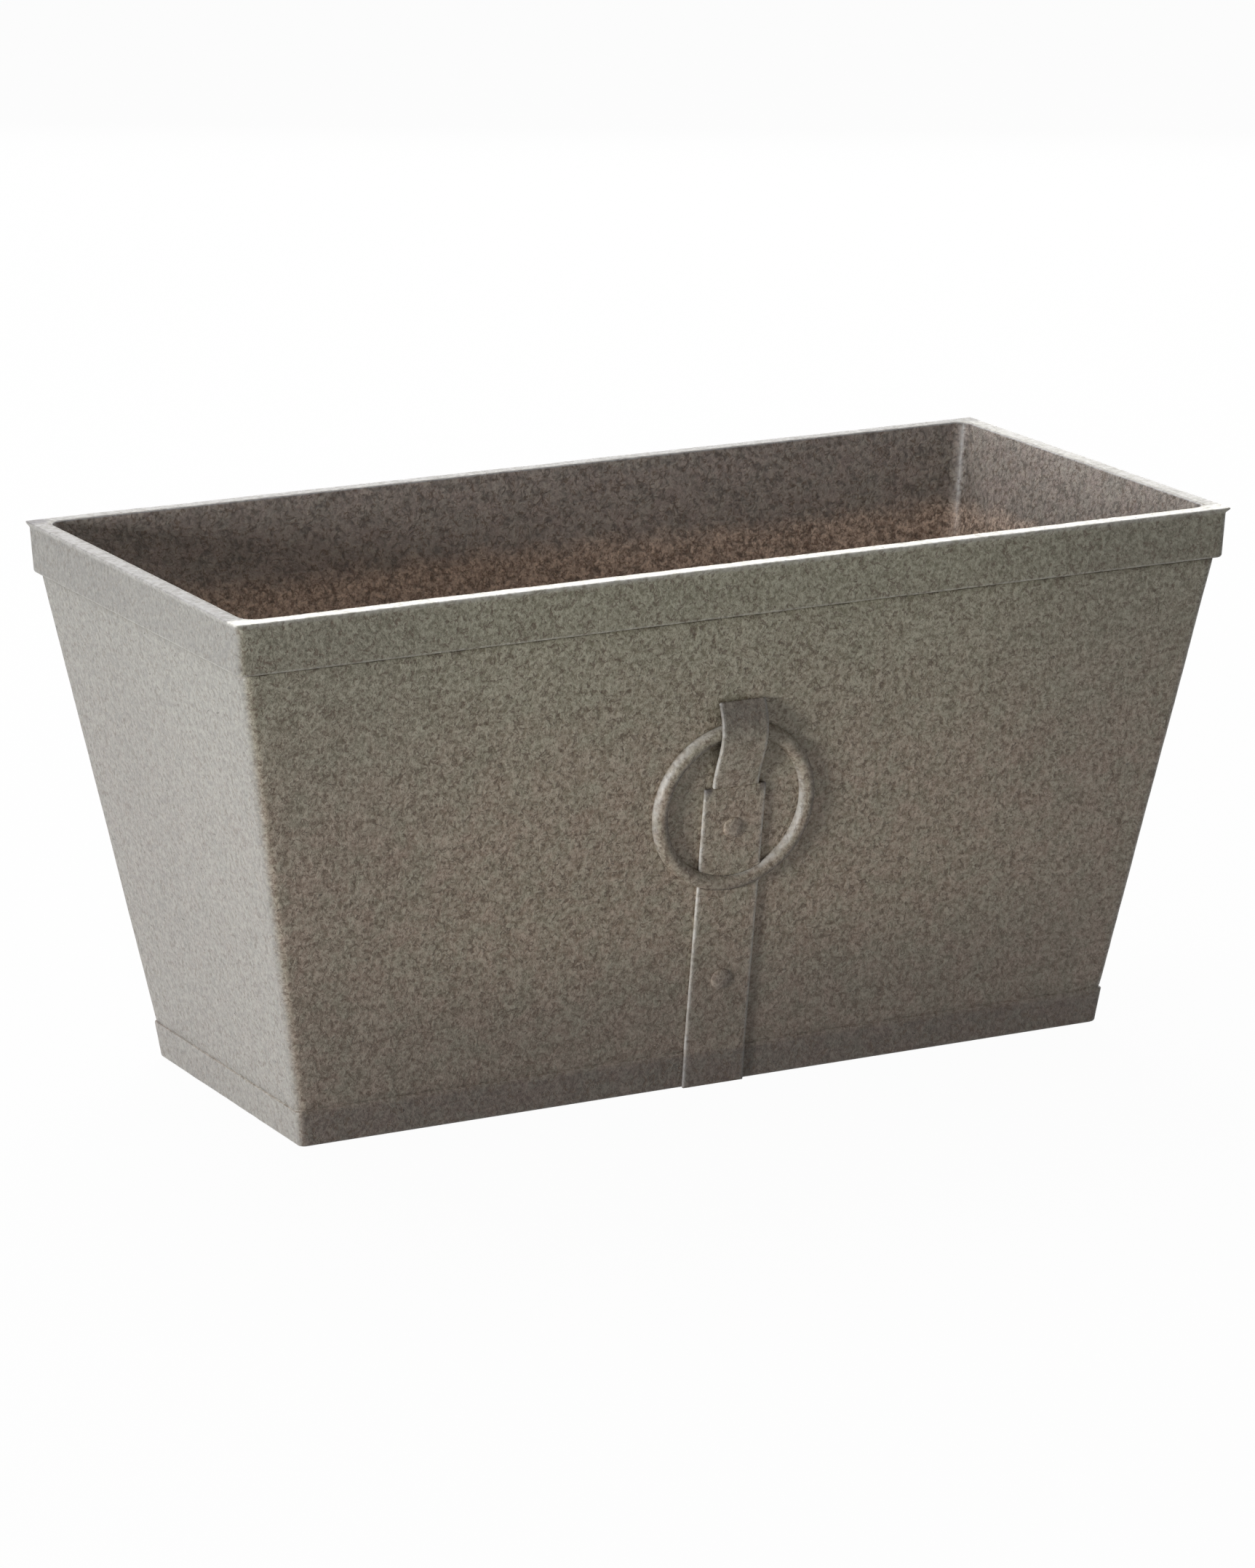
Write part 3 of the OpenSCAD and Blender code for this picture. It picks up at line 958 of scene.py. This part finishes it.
# ---------------------------------------------------------------- rivets
def dome_nodes(tree, given):
    """A squashed ball with its lower half pressed flat."""
    ball = put(tree, "GeometryNodeMeshUVSphere", {"Segments": 40, "Rings": 20, "Radius": 1.0})
    shape = put(tree, "ShaderNodeCombineXYZ",
                {"X": given.outputs["Head"], "Y": given.outputs["Head"], "Z": given.outputs["Dome"]})
    dome = put(tree, "GeometryNodeTransform", {"Geometry": ball.outputs["Mesh"], "Scale": shape.outputs[0]})
    place = put(tree, "GeometryNodeInputPosition")
    parts = put(tree, "ShaderNodeSeparateXYZ", {"Vector": place.outputs[0]})
    above = put(tree, "ShaderNodeMath", {0: parts.outputs["Z"], 1: 0.0}, operation="MAXIMUM")
    flat = put(tree, "ShaderNodeCombineXYZ",
               {"X": parts.outputs["X"], "Y": parts.outputs["Y"], "Z": above.outputs[0]})
    return put(tree, "GeometryNodeSetPosition", {"Geometry": dome.outputs[0], "Position": flat.outputs[0]})


def shank_nodes(tree, given):
    """A round pin that hangs below the head."""
    pin = put(tree, "GeometryNodeMeshCylinder",
              {"Vertices": 24, "Radius": given.outputs["Shank"], "Depth": given.outputs["Length"]})
    half = put(tree, "ShaderNodeMath", {0: given.outputs["Length"], 1: -0.5}, operation="MULTIPLY")
    down = put(tree, "ShaderNodeCombineXYZ", {"Z": half.outputs[0]})
    return put(tree, "GeometryNodeTransform",
               {"Geometry": pin.outputs["Mesh"], "Translation": down.outputs[0]})


def rivet_tree():
    """Domed heads on shanks, at two heights up the wall."""
    sizes = {"Head": 6, "Dome": 2, "Shank": 2.5, "Length": 6, "Lower": 40, "Upper": 130, "Seat": 2}
    tree, given, output = node_tree("rivet_tree", sizes)
    head = dome_nodes(tree, given)
    shank = shank_nodes(tree, given)
    rivet = put(tree, "GeometryNodeJoinGeometry")
    tree.links.new(head.outputs[0], rivet.inputs[0])
    tree.links.new(shank.outputs[0], rivet.inputs[0])
    lower, upper = [put(tree, "ShaderNodeCombineXYZ",
                        {"Y": given.outputs[each], "Z": given.outputs["Seat"]})
                    for each in ("Lower", "Upper")]
    line = put(tree, "GeometryNodeMeshLine",
               {"Count": 2, "Start Location": lower.outputs[0], "Offset": upper.outputs[0]},
               mode="END_POINTS")
    row = put(tree, "GeometryNodeInstanceOnPoints",
              {"Points": line.outputs["Mesh"], "Instance": rivet.outputs[0]})
    end_tree(tree, output, row.outputs["Instances"], FINISHES["casting_finish"])
    return tree


def make_rivets(side):
    mesh = grown(side + "_rivets", RIVET_TREE, {
        "Head": RIVET_HEAD_D / 2, "Dome": RIVET_HEAD_H, "Shank": RIVET_D / 2,
        "Length": STRAP_T + RIVET_DEPTH, "Lower": RIVET_LOWER, "Upper": RIVET_UPPER, "Seat": STRAP_T})
    mesh.transform(Matrix.Rotation(math.pi / 2, 4, "X"))

    def crown(point):
        return near(-point.y, STRAP_T + RIVET_HEAD_H, 1.2)

    tag_wear_and_light(mesh, side, lambda p: 0.1 * crown(p), lambda p: 0.15 + low_darkening(p.z + PLINTH_H))
    mesh.transform(wall_frame(side))
    finish_piece(side + "_rivet_heads", mesh, "casting_finish", side + "_rivets")


RING_TREE = ring_tree()
RIVET_TREE = rivet_tree()


# ---------------------------------------------------------------- studio
FLOOR_WHITE = 0.97     # how much of the floor's own shading the white paper hides
LAMPS = (
    # name, place, what it points at, width, height, watts
    ("left_panel", (-2.5, -0.9, 0.5), (0, -0.1, 0.16), 0.5, 0.5, 47),
    ("low_left_panel", (-2.3, 0.9, 0.3), (-0.29, 0, 0.15), 0.9, 0.5, 13),
    ("back_panel", (1.6, 2.6, 1.0), (0, 0, 0.15), 3.0, 1.8, 50),
    ("high_panel", (0, 1.6, 2.3), (0, 0, 0.2), 2.4, 1.2, 72),
    ("top_panel", (0, 0.2, 2.6), (0, 0, 0.2), 2.0, 2.0, 15),
)


def make_floor():
    """Pale paper, nearly white to the camera, with a faint shadow of the planter on it."""
    half = 20.0
    mesh = bpy.data.meshes.new("floor")
    corners = [(-half, -half, 0), (half, -half, 0), (half, half, 0), (-half, half, 0)]
    mesh.from_pydata(corners, [], [(0, 1, 2, 3)])
    floor = bpy.data.objects.new("floor", mesh)
    floor.location.z = -0.0002
    bpy.context.scene.collection.objects.link(floor)
    material, tree, shader = new_material("floor_paper")
    shader.inputs["Base Color"].default_value = (0.5, 0.5, 0.5, 1)
    shader.inputs["Roughness"].default_value = 0.9
    glow = tree.nodes.new("ShaderNodeEmission")
    rays = tree.nodes.new("ShaderNodeLightPath")
    straight_on = times(tree, rays.outputs["Is Camera Ray"], FLOOR_WHITE)
    mix = tree.nodes.new("ShaderNodeMixShader")
    output = next(n for n in tree.nodes if n.type == "OUTPUT_MATERIAL")
    tree.links.new(greater(tree, straight_on, rays.outputs["Is Glossy Ray"]), mix.inputs[0])
    tree.links.new(shader.outputs[0], mix.inputs[1])
    tree.links.new(glow.outputs[0], mix.inputs[2])
    tree.links.new(mix.outputs[0], output.inputs["Surface"])
    mesh.materials.append(material)


def make_world():
    """White to the camera and in reflections, and almost no light of its own."""
    world = bpy.data.worlds.new("studio")
    world.use_nodes = True
    tree = world.node_tree
    tree.nodes.clear()
    rays = tree.nodes.new("ShaderNodeLightPath")
    mirrored = greater(tree, rays.outputs["Is Glossy Ray"], rays.outputs["Is Transmission Ray"])
    seen = greater(tree, rays.outputs["Is Camera Ray"], mirrored)
    colour = tree.nodes.new("ShaderNodeBackground")
    colour.inputs["Color"].default_value = (1, 1, 1, 1)
    tree.links.new(step(tree, seen, 0.0, 1.0, 0.03, 1.0), colour.inputs["Strength"])
    output = tree.nodes.new("ShaderNodeOutputWorld")
    tree.links.new(colour.outputs[0], output.inputs["Surface"])
    bpy.context.scene.world = world


def make_lamp(name, place, target, width, height, power):
    data = bpy.data.lights.new(name, "AREA")
    data.shape = "RECTANGLE"
    data.size = width
    data.size_y = height
    data.energy = power
    lamp = bpy.data.objects.new(name, data)
    lamp.location = place
    lamp.rotation_euler = (Vector(target) - Vector(place)).to_track_quat("-Z", "Y").to_euler()
    bpy.context.scene.collection.objects.link(lamp)


make_camera()
make_shell()
for SIDE in ("front", "back"):
    make_strap(SIDE)
    make_ring(SIDE)
    make_loop(SIDE)
    make_rivets(SIDE)
for PLUG in ("left_drain_plug", "middle_drain_plug", "right_drain_plug"):
    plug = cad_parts[PLUG]
    plug.data.materials.clear()
    plug.data.materials.append(FINISHES["plug_rubber"])
make_floor()
make_world()
for LAMP in LAMPS:
    make_lamp(*LAMP)
bpy.context.scene.view_settings.view_transform = "Standard"
